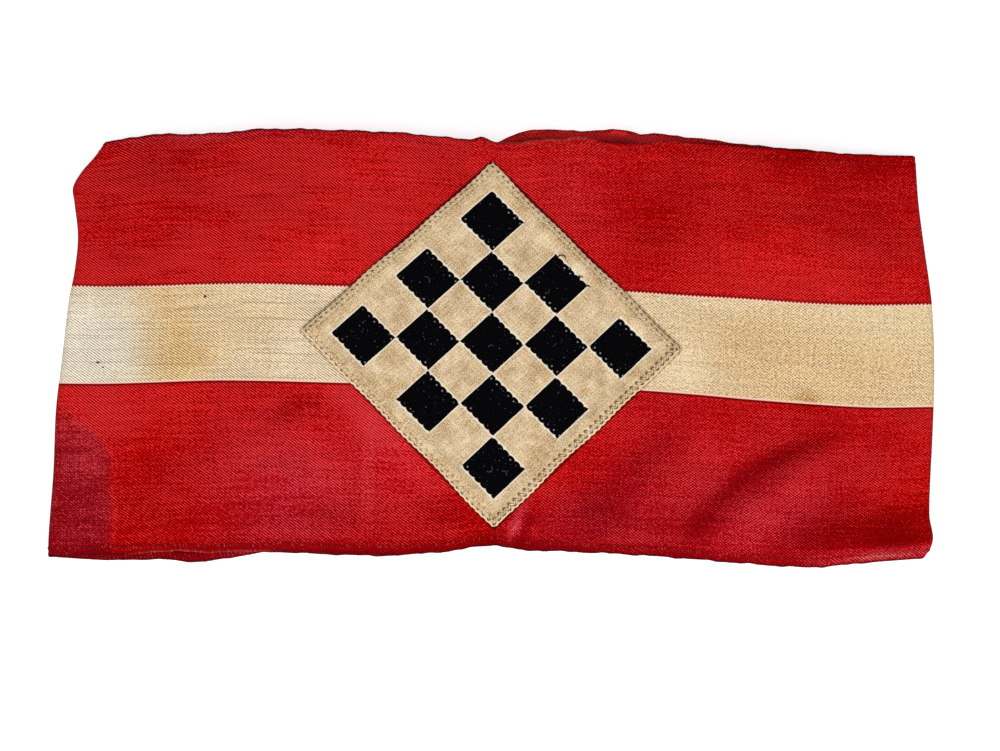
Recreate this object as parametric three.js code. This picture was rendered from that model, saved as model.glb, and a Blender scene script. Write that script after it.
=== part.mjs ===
// A striped cloth armband with a sewn-on lozenge patch, lying flat on a table.
// The band is one woven loop, flattened into a tube: a front layer, a back layer on the table, and a crease
// at each side. The arm goes in along Y, between the two layers. Units are millimetres. X runs along the
// band, Y up its height, and Z away from the table, which is Z = 0.
import * as THREE from "three";

// Driving dimensions
const CLOTH = 1.0; // thickness of the band's wall
const OPEN_GAP = 5.8; // between the two layers, away from the creases
const CREASE_RADIUS = 1.1; // of the middle of the wall, round each crease
const CREASE_RUN = 30; // how far from a crease the front layer reaches its full height
const BAND_REACH = 107; // half the band's length as it lies
const BAND_HEIGHT = 101; // from hem to hem
const SEAT_GAP = 0.3; // between the patch and the band that it is sewn to
const PATCH_SIDE = 62.7; // length of each side of the patch
const PATCH_TIP = 0.9; // how far each tip of the patch is blunted

// How far each face lies from the middle of the wall, where both edges of the band are turned in
const HEM_PROFILE = [
  { inward: 0, outer: 0.25 * CLOTH, inner: 0.5 * CLOTH },
  { inward: 0.6, outer: 0.5 * CLOTH, inner: 0.8 * CLOTH },
  { inward: 2.2, outer: 0.5 * CLOTH, inner: 0.8 * CLOTH },
  { inward: 2.9, outer: 0.5 * CLOTH, inner: 0.5 * CLOTH },
];

// Thickness of the patch, by the distance in from its edge, where its cloth is turned under
const PATCH_PROFILE = [
  { inward: 0, thick: 0.6 },
  { inward: 0.6, thick: 1.25 },
  { inward: 3.2, thick: 1.35 },
  { inward: 4.4, thick: 1.0 },
];

// Share of the band's height at the two edges of the pale stripe
const STRIPE_LOW = 0.4;
const STRIPE_HIGH = 0.635;

// Numbers of faces
const LOWER_ROWS = 8;
const STRIPE_ROWS = 5;
const UPPER_ROWS = 7;
const FRONT_COLUMNS = 44;
const BACK_COLUMNS = 20;
const CREASE_COLUMNS = 4;
const PATCH_CELLS = 9;

// The weft lines of both layers, at places along the band. The layers share the pale stripe's two lines.
const WEFT_TABLE = table(
  ["x", "frontLow", "backLow", "stripeLow", "stripeHigh", "frontTop", "backTop"],
  [-107.0, -50.4, -50.4, -8.5, 15.2, 49.4, 49.4],
  [-93.5, -49.9, -51.2, -8.6, 14.8, 49.7, 49.2],
  [-82.2, -49.2, -51.2, -8.3, 14.9, 51.4, 50.4],
  [-67.7, -49.2, -51.3, -7.8, 15.3, 51.6, 50.4],
  [-54.5, -48.9, -49.4, -7.9, 15.4, 52.7, 51.0],
  [-38.8, -49.5, -49.9, -8.3, 14.9, 52.5, 51.0],
  [-21.9, -49.8, -50.1, -8.7, 14.5, 51.8, 50.6],
  [-9.9, -48.9, -48.2, -9.0, 14.2, 50.6, 49.6],
  [0.2, -47.5, -47.0, -9.2, 14.0, 49.8, 49.6],
  [7.0, -48.6, -47.8, -9.4, 13.9, 49.9, 51.8],
  [15.0, -48.9, -48.2, -9.5, 13.8, 50.3, 52.7],
  [31.1, -49.6, -48.8, -9.9, 13.6, 49.6, 52.5],
  [48.0, -50.8, -50.0, -11.1, 12.5, 49.5, 50.9],
  [62.4, -52.0, -51.2, -12.4, 11.7, 48.5, 49.1],
  [76.9, -52.8, -51.8, -13.5, 10.7, 47.4, 47.8],
  [91.3, -51.7, -51.0, -14.3, 10.3, 46.6, 46.3],
  [107.0, -50.6, -50.6, -14.2, 10.6, 46.3, 46.3],
);

// Where each crease lies, by the height up the band. The left one slants at its turned-in upper corner.
const LEFT_CREASE = table(
  ["y", "x"],
  [-50.4, -107.0],
  [-43.9, -106.7],
  [-29.4, -105.6],
  [-14.9, -105.0],
  [-2.9, -103.6],
  [11.6, -101.9],
  [18.8, -100.5],
  [27.2, -99.7],
  [35.7, -100.6],
  [38.9, -100.9],
  [42.9, -98.6],
  [46.2, -95.6],
  [49.4, -93.3],
);
const RIGHT_CREASE = table(
  ["y", "x"],
  [-50.6, 104.4],
  [-48.4, 106.0],
  [-45.6, 106.7],
  [-40.2, 105.8],
  [-22.2, 106.5],
  [-8.4, 107.0],
  [1.9, 106.9],
  [11.6, 106.3],
  [26.0, 104.3],
  [35.7, 103.1],
  [46.3, 102.4],
);

// Soft folds of the front layer: the middle, direction, half length, half width and height of each
const FOLDS = [
  { name: "lower right slanting ridge", x: 71, y: -32, degrees: 38, long: 20, wide: 5.5, high: 1.5 },
  { name: "hollow below the slanting ridge", x: 84, y: -37, degrees: 22, long: 14, wide: 4.5, high: -0.5 },
  { name: "roll of the lower right edge", x: 92, y: -47.5, degrees: 4, long: 15, wide: 5.0, high: 2.0 },
  { name: "swell right of the lower tip", x: 27, y: -46, degrees: 8, long: 14, wide: 6.5, high: 1.0 },
  { name: "swell under the stripe, right", x: 45, y: -15, degrees: -14, long: 16, wide: 6.0, high: 0.7 },
  { name: "ripple under the stripe, left", x: -46, y: -18, degrees: 20, long: 9, wide: 4.0, high: 0.6 },
  { name: "upright ridge left of the patch", x: -28, y: -34, degrees: 84, long: 14, wide: 4.5, high: 0.8 },
  { name: "upright ridge by the lower tip", x: -10, y: -44, degrees: 72, long: 8, wide: 4.0, high: 0.6 },
  { name: "middle crease, lower end", x: 4, y: -46, degrees: 82, long: 7, wide: 3.0, high: 1.2 },
  { name: "middle crease, upper end", x: -3, y: 50, degrees: 90, long: 6, wide: 3.2, high: 1.0 },
  { name: "upper left swell", x: -49, y: 29, degrees: -12, long: 20, wide: 9.0, high: 0.8 },
  { name: "upper right swell", x: 80, y: 28, degrees: -12, long: 22, wide: 8.0, high: 0.9 },
  { name: "upright swell above the stripe", x: 46, y: 32, degrees: 96, long: 12, wide: 6.0, high: 0.6 },
  { name: "roll of the upper left corner", x: -82, y: 34, degrees: 52, long: 13, wide: 7.0, high: 0.8 },
  { name: "lower left swell", x: -74, y: -34, degrees: 12, long: 22, wide: 9.0, high: 0.7 },
];

// The patch's corners, before its tips are blunted
const PATCH_CORNERS = { left: [-45.7, 4.1], top: [0.3, 44.5], right: [45.8, -0.4], bottom: [0.7, -43.4] };

const STRIPED_CLOTH = new THREE.MeshStandardMaterial({ color: 0xb4161a, roughness: 0.85, metalness: 0 });
const PATCH_WEAVE = new THREE.MeshStandardMaterial({ color: 0xd9bd92, roughness: 0.9, metalness: 0 });

const { clamp, degToRad, lerp, smoothstep } = THREE.MathUtils;

// A table as a list of rows, each with its columns by name
function table(columns, ...rows) {
  return rows.map((row) => Object.fromEntries(columns.map((name, k) => [name, row[k]])));
}

// The rows of a table on each side of a place, and how far between them the place lies, from 0 to 1
function rowsAround(rows, key, at) {
  const last = rows.length - 1;
  let i = 0;
  while (i < last - 1 && at > rows[i + 1][key]) {
    i += 1;
  }
  const share = clamp((at - rows[i][key]) / (rows[i + 1][key] - rows[i][key]), 0, 1);
  const before = rows[Math.max(i - 1, 0)];
  const after = rows[Math.min(i + 2, last)];
  return { before, low: rows[i], high: rows[i + 1], after, share };
}

// A value of a profile, in straight steps from row to row
function stepped(rows, column, inward) {
  const { low, high, share } = rowsAround(rows, "inward", inward);
  return lerp(low[column], high[column], share);
}

// A smooth curve through one column of a table. Its slope at a row is the slope between its neighbours.
function smoothed(rows, key, column, at) {
  const { before, low, high, after, share } = rowsAround(rows, key, at);
  const span = high[key] - low[key];
  const slope = (a, b) => ((b[column] - a[column]) / (b[key] - a[key])) * span;
  const turn = share * share * (3 - 2 * share);
  const bend = share * (1 - share) * ((1 - share) * slope(before, high) - share * slope(low, after));
  return lerp(low[column], high[column], turn) + bend;
}

const leftCrease = (y) => smoothed(LEFT_CREASE, "y", "x", y);
const rightCrease = (y) => smoothed(RIGHT_CREASE, "y", "x", y);

// Height up the band at a place x along it, for a share from its lower edge, 0, to its upper edge, 1
function weftHeight(layer, x, share) {
  const line = (column) => smoothed(WEFT_TABLE, "x", column, x);
  if (share <= STRIPE_LOW) {
    return lerp(line(layer + "Low"), line("stripeLow"), share / STRIPE_LOW);
  }
  if (share >= STRIPE_HIGH) {
    return lerp(line("stripeHigh"), line(layer + "Top"), (share - STRIPE_HIGH) / (1 - STRIPE_HIGH));
  }
  return lerp(line("stripeLow"), line("stripeHigh"), (share - STRIPE_LOW) / (STRIPE_HIGH - STRIPE_LOW));
}

// The rows of the band's mesh, as shares of its height
function weftShares() {
  const hem = HEM_PROFILE.map((row) => row.inward / BAND_HEIGHT);
  const inside = hem.at(-1);
  const shares = [...hem];
  const addRows = (from, to, rows) => {
    for (let i = 1; i <= rows; i++) {
      shares.push(lerp(from, to, i / rows));
    }
  };
  addRows(inside, STRIPE_LOW, LOWER_ROWS);
  addRows(STRIPE_LOW, STRIPE_HIGH, STRIPE_ROWS);
  addRows(STRIPE_HIGH, 1 - inside, UPPER_ROWS);
  hem.reverse().slice(1).forEach((share) => shares.push(1 - share));
  return shares;
}

// How far a face of the wall lies out from its middle. Side 1 is the loop's outer face, -1 its inner one.
function wallOffset(share, side) {
  const inward = BAND_HEIGHT * Math.min(share, 1 - share);
  return side * stepped(HEM_PROFILE, side > 0 ? "outer" : "inner", inward);
}

// What the soft folds add to the front layer's height
function foldHeight(x, y) {
  let sum = 0;
  for (const fold of FOLDS) {
    const angle = degToRad(fold.degrees);
    const dx = x - fold.x;
    const dy = y - fold.y;
    const down = (dx * Math.cos(angle) + dy * Math.sin(angle)) / fold.long;
    const across = (dy * Math.cos(angle) - dx * Math.sin(angle)) / fold.wide;
    sum += fold.high * Math.exp(-down * down - across * across);
  }
  return sum;
}

// Height of the wall's middle: the back layer lies on the table, and the front one rises from the creases.
const BACK_MIDDLE = CLOTH / 2;
function frontMiddle(x, y) {
  const fromCrease = Math.min(x - leftCrease(y), rightCrease(y) - x);
  const rise = smoothstep(fromCrease, CREASE_RADIUS + CLOTH / 2, CREASE_RUN);
  const creased = BACK_MIDDLE + 2 * CREASE_RADIUS;
  const open = BACK_MIDDLE + CLOTH + OPEN_GAP + foldHeight(x, y);
  return lerp(creased, open, rise);
}

// Where a layer meets the bend of a crease. hand is 1 at the right crease and -1 at the left one.
function layerEnd(layer, hand, share) {
  const crease = hand > 0 ? rightCrease : leftCrease;
  const x = crease(weftHeight(layer, hand * BAND_REACH, share)) - hand * (CREASE_RADIUS + CLOTH / 2);
  return new THREE.Vector2(x, weftHeight(layer, x, share));
}

// A station on a layer, as a function that gives a point for a share of the height and a side of the wall.
// along is 0 at the left crease and 1 at the right one.
function layerStation(layer, along) {
  return (share, side) => {
    const x = lerp(layerEnd(layer, -1, share).x, layerEnd(layer, 1, share).x, along);
    const y = weftHeight(layer, x, share);
    const offset = wallOffset(share, side);
    return new THREE.Vector3(x, y, layer === "front" ? frontMiddle(x, y) + offset : BACK_MIDDLE - offset);
  };
}

// A station in the bend of a crease, from the front layer, where turn is 0, to the back one, where it is 1
function creaseStation(hand, turn) {
  return (share, side) => {
    const edge = layerEnd("front", hand, share).lerp(layerEnd("back", hand, share), turn);
    const radius = CREASE_RADIUS + wallOffset(share, side);
    const angle = Math.PI * (0.5 - turn);
    const x = edge.x + hand * radius * Math.cos(angle);
    return new THREE.Vector3(x, edge.y, BACK_MIDDLE + CREASE_RADIUS + radius * Math.sin(angle));
  };
}

// A closed shell over a grid. place gives the point at a column and a row, on the upper side, 1, or the
// lower side, -1. Where loop is true the last column joins the first.
function shellGeometry(columns, rows, loop, place) {
  const points = [];
  for (const side of [1, -1]) {
    for (let i = 0; i < columns; i++) {
      for (let j = 0; j < rows; j++) {
        points.push(place(i, j, side));
      }
    }
  }
  const at = (i, j, side) => (side > 0 ? 0 : columns * rows) + (i % columns) * rows + j;
  const faces = [];
  const quad = (a, b, c, d) => faces.push(a, b, c, a, c, d);
  const spans = loop ? columns : columns - 1;
  const top = rows - 1;
  for (let i = 0; i < spans; i++) {
    for (let j = 0; j < top; j++) {
      quad(at(i, j, 1), at(i + 1, j, 1), at(i + 1, j + 1, 1), at(i, j + 1, 1));
      quad(at(i, j, -1), at(i, j + 1, -1), at(i + 1, j + 1, -1), at(i + 1, j, -1));
    }
    quad(at(i, 0, -1), at(i + 1, 0, -1), at(i + 1, 0, 1), at(i, 0, 1));
    quad(at(i, top, 1), at(i + 1, top, 1), at(i + 1, top, -1), at(i, top, -1));
  }
  if (!loop) {
    const end = columns - 1;
    for (let j = 0; j < top; j++) {
      quad(at(0, j, 1), at(0, j + 1, 1), at(0, j + 1, -1), at(0, j, -1));
      quad(at(end, j, -1), at(end, j + 1, -1), at(end, j + 1, 1), at(end, j, 1));
    }
  }
  const geometry = new THREE.BufferGeometry().setFromPoints(points);
  geometry.setIndex(faces);
  geometry.computeVertexNormals();
  return geometry;
}

function named(name, geometry, material) {
  const mesh = new THREE.Mesh(geometry, material);
  mesh.name = name;
  return mesh;
}

// The band, as stations one after another round the loop: front layer, right crease, back layer, left crease
function bandMesh() {
  const stations = [];
  for (let i = 0; i <= FRONT_COLUMNS; i++) {
    stations.push(layerStation("front", i / FRONT_COLUMNS));
  }
  for (let i = 1; i < CREASE_COLUMNS; i++) {
    stations.push(creaseStation(1, i / CREASE_COLUMNS));
  }
  for (let i = 0; i <= BACK_COLUMNS; i++) {
    stations.push(layerStation("back", 1 - i / BACK_COLUMNS));
  }
  for (let i = 1; i < CREASE_COLUMNS; i++) {
    stations.push(creaseStation(-1, 1 - i / CREASE_COLUMNS));
  }
  const shares = weftShares();
  const place = (i, j, side) => stations[i](shares[j], side);
  return named("band", shellGeometry(stations.length, shares.length, true, place), STRIPED_CLOTH);
}

// A point of the patch, a of the way from its left corner to its top one and b of the way across
function patchPoint(a, b) {
  const { left, top, right, bottom } = PATCH_CORNERS;
  const [x, y] = [0, 1].map((k) => lerp(lerp(left[k], top[k], a), lerp(bottom[k], right[k], a), b));
  return new THREE.Vector2(x, y);
}

function patchMesh() {
  const edge = PATCH_PROFILE.map((row) => row.inward / PATCH_SIDE);
  const inside = edge.at(-1);
  const shares = [...edge];
  for (let i = 1; i <= PATCH_CELLS; i++) {
    shares.push(lerp(inside, 1 - inside, i / PATCH_CELLS));
  }
  edge.reverse().slice(1).forEach((share) => shares.push(1 - share));
  const middle = patchPoint(0.5, 0.5);
  const inwardAt = (i) => PATCH_SIDE * Math.min(shares[i], 1 - shares[i]);
  const place = (i, j, side) => {
    const point = patchPoint(shares[j], shares[i]);
    const inward = Math.min(inwardAt(i), inwardAt(j));
    if (inwardAt(i) === 0 && inwardAt(j) === 0) {
      point.sub(point.clone().sub(middle).setLength(PATCH_TIP));
    }
    const seat = frontMiddle(point.x, point.y) + CLOTH / 2 + SEAT_GAP;
    const thick = side > 0 ? stepped(PATCH_PROFILE, "thick", inward) : 0;
    return new THREE.Vector3(point.x, point.y, seat + thick);
  };
  return named("patch", shellGeometry(shares.length, shares.length, false, place), PATCH_WEAVE);
}

const armband = new THREE.Group();
armband.add(bandMesh(), patchMesh());

export default armband;
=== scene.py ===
"""A striped cloth armband with a sewn-on lozenge patch, lying flat on a pale surface."""

import math
from functools import partialmethod

import bpy
import numpy as np
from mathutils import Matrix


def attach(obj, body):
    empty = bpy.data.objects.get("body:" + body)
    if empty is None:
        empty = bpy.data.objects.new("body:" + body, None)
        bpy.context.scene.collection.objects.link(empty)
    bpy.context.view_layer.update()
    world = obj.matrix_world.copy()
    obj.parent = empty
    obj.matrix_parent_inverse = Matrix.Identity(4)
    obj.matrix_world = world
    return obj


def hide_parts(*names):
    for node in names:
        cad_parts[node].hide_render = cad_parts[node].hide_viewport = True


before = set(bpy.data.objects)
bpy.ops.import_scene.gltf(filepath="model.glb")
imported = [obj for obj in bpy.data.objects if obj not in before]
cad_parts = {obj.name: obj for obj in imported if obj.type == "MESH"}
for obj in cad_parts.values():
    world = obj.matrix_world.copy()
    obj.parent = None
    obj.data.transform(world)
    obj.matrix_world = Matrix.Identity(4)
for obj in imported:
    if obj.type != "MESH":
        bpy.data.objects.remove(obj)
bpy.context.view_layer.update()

# The pale surface, the soft light and the camera
# The armband lies on a plain pale surface and is seen from straight above. Soft light comes from all round,
# with more of it from the side of the lower hem, which shows the folds.
MM = 0.001
VIEW_CENTRE = (2.17 * MM, -6.63 * MM)
VIEW_WIDTH = 240.96 * MM
VIEW_PLANE = 4.0 * MM
CAMERA_HEIGHT = 1.6
CAMERA_NEAREST = 0.05
SENSOR = 36.0
ROOM_LIGHT = 1.2
ROOM_GLOW = 0.36
WHITE = (1.0, 1.0, 1.0, 1.0)

eye = bpy.data.cameras.new("camera")
eye.sensor_width = SENSOR
eye.lens = SENSOR * (CAMERA_HEIGHT - VIEW_PLANE) / VIEW_WIDTH
eye.clip_start = CAMERA_NEAREST
camera = bpy.data.objects.new("camera", eye)
camera.location = (*VIEW_CENTRE, CAMERA_HEIGHT)
bpy.context.collection.objects.link(camera)
bpy.context.scene.camera = camera
bpy.context.scene.view_settings.view_transform = "Standard"


def looks(red, green, blue):
    """The share of light that a surface gives back, from how it looks in the room's light, from 0 to 255."""
    shares = [c / 255 for c in (red, green, blue)]
    light = [c / 12.92 if c <= 0.04045 else ((c + 0.055) / 1.055) ** 2.4 for c in shares]
    return (*(c / ROOM_LIGHT for c in light), 1.0)


def soft_lamp(name, place, size, watts, colour):
    """A square soft lamp that faces the armband."""
    lamp = bpy.data.lights.new(name, "AREA")
    lamp.size = size
    lamp.energy = watts
    lamp.color = colour
    holder = bpy.data.objects.new(name, lamp)
    holder.location = place
    away = np.array(place) / np.linalg.norm(place)
    holder.rotation_euler = (math.acos(away[2]), 0, math.atan2(away[0], -away[1]))
    bpy.context.collection.objects.link(holder)


soft_lamp("lower_side_lamp", place=(0.10, -0.74, 0.66), size=0.7, watts=9.5, colour=(1.0, 0.97, 0.93))
soft_lamp("overhead_lamp", place=(-0.25, 0.1, 1.1), size=0.8, watts=4.0, colour=(0.97, 0.98, 1.0))

room = bpy.data.worlds.new("room")
room.use_nodes = True
glow = room.node_tree.nodes["Background"].inputs
glow["Color"].default_value = WHITE
glow["Strength"].default_value = ROOM_GLOW
bpy.context.scene.world = room

SURFACE_REACH = 0.9
SURFACE_THICK = 0.01
SURFACE_COLOUR = (0.95, 0.95, 0.95, 1.0)
SURFACE_ROUGHNESS = 0.9
SURFACE_GLOW = 0.5


def surface_mesh():
    """A slab whose top is the height that the armband lies at."""
    corners = [(x, y, z) for z in (0, -SURFACE_THICK) for x, y in ((-1, -1), (1, -1), (1, 1), (-1, 1))]
    points = [(x * SURFACE_REACH, y * SURFACE_REACH, z) for x, y, z in corners]
    sides = [(k, k + 4, (k + 1) % 4 + 4, (k + 1) % 4) for k in range(4)]
    mesh = bpy.data.meshes.new("floor")
    mesh.from_pydata(points, [], [(0, 1, 2, 3), (7, 6, 5, 4), *sides])
    return mesh


floor = bpy.data.objects.new("floor", surface_mesh())
bpy.context.collection.objects.link(floor)
paper = bpy.data.materials.new("pale_surface")
paper.use_nodes = True
gloss = paper.node_tree.nodes["Principled BSDF"].inputs
gloss["Base Color"].default_value = SURFACE_COLOUR
gloss["Roughness"].default_value = SURFACE_ROUGHNESS
gloss["Emission Color"].default_value = WHITE
gloss["Emission Strength"].default_value = SURFACE_GLOW
floor.data.materials.append(paper)

# The band
# One woven strip of cotton twill with a red, a cream and a red stripe, joined into a loop. Both edges are
# turned in as narrow hems. It lies flattened, with a crease at each end and soft folds in the front layer.
WALL_OUTER = 0.5
WALL_INNER = 0.2
OPEN_GAP = 5.8
CREASE_RADIUS = 1.1
CREASE_RUN = 30.0
BAND_REACH = 107.0
BAND_HEIGHT = 101.0
STRIPE_LOW = 0.4
STRIPE_HIGH = 0.635

# How far each face lies from the middle of the wall, by the distance in from the edge
HEM_COLUMNS = ("inward", "outer", "inner")
HEM_ROWS = [
    (0.0, 0.06, 0.22),
    (0.12, 0.26, 0.46),
    (0.35, 0.40, 0.62),
    (0.7, 0.46, 0.68),
    (1.05, 0.43, 0.66),
    (1.35, 0.41, 0.62),
    (1.7, 0.44, 0.66),
    (2.2, 0.50, 0.60),
    (2.7, 0.47, 0.32),
    (3.4, WALL_OUTER, WALL_INNER),
]

# The weft lines of both layers, at places along the band. The layers share the cream stripe's two lines.
WEFT_COLUMNS = ("x", "front_low", "back_low", "stripe_low", "stripe_high", "front_top", "back_top")
WEFT_ROWS = [
    (-107.0, -50.4, -50.4, -8.5, 15.2, 49.4, 49.4),
    (-93.5, -49.9, -51.2, -8.6, 14.8, 49.7, 49.2),
    (-82.2, -49.2, -51.2, -8.3, 14.9, 51.4, 50.4),
    (-67.7, -49.2, -51.3, -7.8, 15.3, 51.6, 50.4),
    (-54.5, -48.9, -49.4, -7.9, 15.4, 52.7, 51.0),
    (-38.8, -49.5, -49.9, -8.3, 14.9, 52.5, 51.0),
    (-21.9, -49.8, -50.1, -8.7, 14.5, 51.8, 50.6),
    (-9.9, -48.9, -48.2, -9.0, 14.2, 50.6, 49.6),
    (0.2, -47.5, -47.0, -9.2, 14.0, 49.8, 49.6),
    (7.0, -48.6, -47.8, -9.4, 13.9, 49.6, 51.8),
    (15.0, -48.9, -48.2, -9.5, 13.8, 50.2, 52.7),
    (31.1, -49.6, -48.8, -9.9, 13.6, 49.6, 52.5),
    (48.0, -50.8, -50.0, -11.1, 12.5, 49.5, 50.9),
    (62.4, -52.0, -51.2, -12.4, 11.7, 48.5, 49.1),
    (76.9, -52.8, -51.8, -13.5, 10.7, 47.4, 47.8),
    (91.3, -51.7, -51.0, -14.3, 10.3, 46.6, 46.3),
    (107.0, -50.6, -50.6, -14.2, 10.6, 46.3, 46.3),
]

# Where each crease lies, by the height up the band. The left one slants at its turned-in upper corner.
CREASE_COLUMNS = ("y", "x")
LEFT_CREASE_ROWS = [
    (-50.4, -107.0),
    (-43.9, -106.7),
    (-29.4, -105.6),
    (-14.9, -105.0),
    (-2.9, -103.6),
    (11.6, -101.9),
    (18.8, -100.5),
    (27.2, -99.7),
    (35.7, -100.6),
    (38.9, -100.9),
    (42.9, -98.6),
    (46.2, -95.6),
    (49.4, -93.3),
]
RIGHT_CREASE_ROWS = [
    (-50.6, 104.4),
    (-48.4, 106.0),
    (-45.6, 106.7),
    (-40.2, 105.8),
    (-22.2, 106.5),
    (-8.4, 107.0),
    (1.9, 106.9),
    (11.6, 106.3),
    (26.0, 104.3),
    (35.7, 103.1),
    (46.3, 102.4),
]

# Soft folds of the front layer: the middle of the crest, its direction, its half length, how far it spreads
# above the crest and below it, and its height
FOLD_COLUMNS = ("x", "y", "degrees", "long", "above", "below", "high")
FOLDS = {
    "lower right slanting ridge": (70, -33.5, 36, 19, 4.2, 9.0, 2.3),
    "hollow above the slanting ridge": (66, -25, 33, 17, 5.0, 5.0, -0.6),
    "hollow below the slanting ridge": (88, -37, 20, 13, 4.5, 4.5, -0.5),
    "roll of the lower right edge": (95, -48.2, 4, 17, 6.5, 3.5, 2.6),
    "swell right of the lower tip": (27, -46, 8, 14, 6.5, 6.5, 1.0),
    "swell under the stripe, right": (45, -15, -14, 16, 6.0, 6.0, 0.8),
    "ripple under the stripe, left": (-46, -18, 20, 9, 4.0, 4.0, 0.7),
    "upright ridge left of the patch": (-28, -34, 84, 14, 4.5, 4.5, 0.9),
    "upright ridge by the lower tip": (-10, -44, 72, 8, 4.0, 4.0, 0.7),
    "middle crease, lower end": (4, -46, 82, 7, 2.2, 3.0, 1.3),
    "middle crease, upper end": (-3, 50, 90, 6, 2.4, 3.2, 1.2),
    "upper left swell": (-49, 29, -12, 20, 9.0, 9.0, 0.9),
    "upper right swell": (80, 28, -12, 22, 8.0, 8.0, 1.0),
    "upright swell above the stripe": (46, 32, 96, 12, 6.0, 6.0, 0.7),
    "roll of the upper left corner": (-82, 34, 52, 13, 7.0, 7.0, 0.9),
    "lower left swell": (-74, -34, 12, 22, 9.0, 9.0, 0.8),
}
CREST_POWER = 1.7

# Slight unevenness of worn cloth, as waves over the front layer: length, direction, start and height
RIPPLES = [
    (31.0, 24, 0.3, 0.12),
    (19.0, -37, 1.9, 0.08),
    (13.0, 71, 4.1, 0.05),
    (8.5, 8, 2.6, 0.03),
]

# Small unevenness of the edges: the middle and half width of each place, and how far the edge moves
# outwards. It fades over the depth into the cloth, and dies out between two distances from the creases.
EDGE_COLUMNS = ("layer", "edge", "x", "wide", "out")
EDGE_ROWS = [
    ("front", "top", -2.4, 1.5, 0.9),
    ("front", "top", 1.4, 1.8, -0.3),
    ("front", "top", 21.5, 3.2, 0.8),
    ("front", "top", 34.5, 4.0, -0.5),
    ("front", "top", 41.0, 3.0, 0.4),
    ("front", "low", -87.0, 4.0, 0.4),
    ("front", "low", -76.0, 5.0, -0.3),
    ("back", "top", 11.0, 4.0, 0.2),
    ("back", "top", 21.0, 4.0, -0.4),
    ("back", "top", 36.0, 1.6, -0.5),
    ("back", "low", -72.0, 5.0, 0.25),
    ("back", "low", -80.0, 4.0, -0.25),
]
EDGE_WAVES = ((11.3, 0.10), (5.1, 0.07), (3.2, 0.04))
WAVE_STARTS = {"low": 0.7, "top": 2.9, "front": 0.0, "back": 1.3}
EDGE_DEPTH = 4.0
EDGE_CALM = (9.0, 21.0)

# Where the back layer's edges curl up: the middle and half width of each place, and the lift
CURL_ROWS = [
    ("top", 10.0, 6.0, 3.8),
    ("top", 30.5, 4.5, 4.4),
    ("low", -60.0, 5.0, 1.2),
]
CURL_DEPTH = 3.2


def named(columns, rows):
    """The rows of a table, each with its values by name."""
    return [dict(zip(columns, row)) for row in rows]


def smooth_curve(columns, rows, column, at):
    """A smooth curve through a column of a table, at places of its first column. Its slope at a row is the
    slope between its neighbours."""
    table = np.array(rows)
    places, values = table[:, 0], table[:, columns.index(column)]
    last = len(places) - 1
    row = np.arange(last + 1)
    before, after = np.maximum(row - 1, 0), np.minimum(row + 1, last)
    slopes = (values[after] - values[before]) / (places[after] - places[before])
    at = np.clip(at, places[0], places[-1])
    k = np.clip(np.searchsorted(places, at, side="right") - 1, 0, last - 1)
    span = places[k + 1] - places[k]
    t = (at - places[k]) / span
    bend = t * (1 - t) * ((1 - t) * slopes[k] - t * slopes[k + 1]) * span
    return values[k] + (values[k + 1] - values[k]) * t * t * (3 - 2 * t) + bend


def crease(hand, y):
    """Where a crease lies: hand is 1 for the right one and -1 for the left one."""
    return smooth_curve(CREASE_COLUMNS, RIGHT_CREASE_ROWS if hand > 0 else LEFT_CREASE_ROWS, "x", y)


def smooth_step(at, low, high):
    t = np.clip((at - low) / (high - low), 0, 1)
    return t * t * (3 - 2 * t)


def weft_height(layer, x, share):
    """Height up the band at x, for a share from its lower edge, 0, to its upper edge, 1."""
    x, share = np.broadcast_arrays(np.asarray(x, float), share)
    low, stripe_low, stripe_high, top = (
        smooth_curve(WEFT_COLUMNS, WEFT_ROWS, column, x)
        for column in (layer + "_low", "stripe_low", "stripe_high", layer + "_top")
    )
    lower = low + (stripe_low - low) * share / STRIPE_LOW
    stripe = stripe_low + (stripe_high - stripe_low) * (share - STRIPE_LOW) / (STRIPE_HIGH - STRIPE_LOW)
    upper = stripe_high + (top - stripe_high) * (share - STRIPE_HIGH) / (1 - STRIPE_HIGH)
    return np.where(share < STRIPE_LOW, lower, np.where(share < STRIPE_HIGH, stripe, upper))


def edge_wander(layer, x, share):
    """How far the unevenness of the edges moves the cloth up the band. It dies out towards the creases."""
    total = 0 * x * share
    for edge, outwards, inward in (("low", -1, share), ("top", 1, 1 - share)):
        near = np.exp(-np.maximum(inward, 0) * BAND_HEIGHT / EDGE_DEPTH)
        start = WAVE_STARTS[edge] + WAVE_STARTS[layer]
        for length, reach in EDGE_WAVES:
            total = total + outwards * near * reach * np.sin(2 * math.pi * x / length + start * length)
        for place in named(EDGE_COLUMNS, EDGE_ROWS):
            if (place["layer"], place["edge"]) == (layer, edge):
                swell = np.exp(-(((x - place["x"]) / place["wide"]) ** 2))
                total = total + outwards * near * place["out"] * swell
    return total * smooth_step(BAND_REACH - np.abs(x), *EDGE_CALM)


def slanted(x, y, place):
    """Distances from a row's place, along its direction and to the left of it."""
    angle = math.radians(place["degrees"])
    dx, dy = x - place["x"], y - place["y"]
    return dx * math.cos(angle) + dy * math.sin(angle), dy * math.cos(angle) - dx * math.sin(angle)


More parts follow.
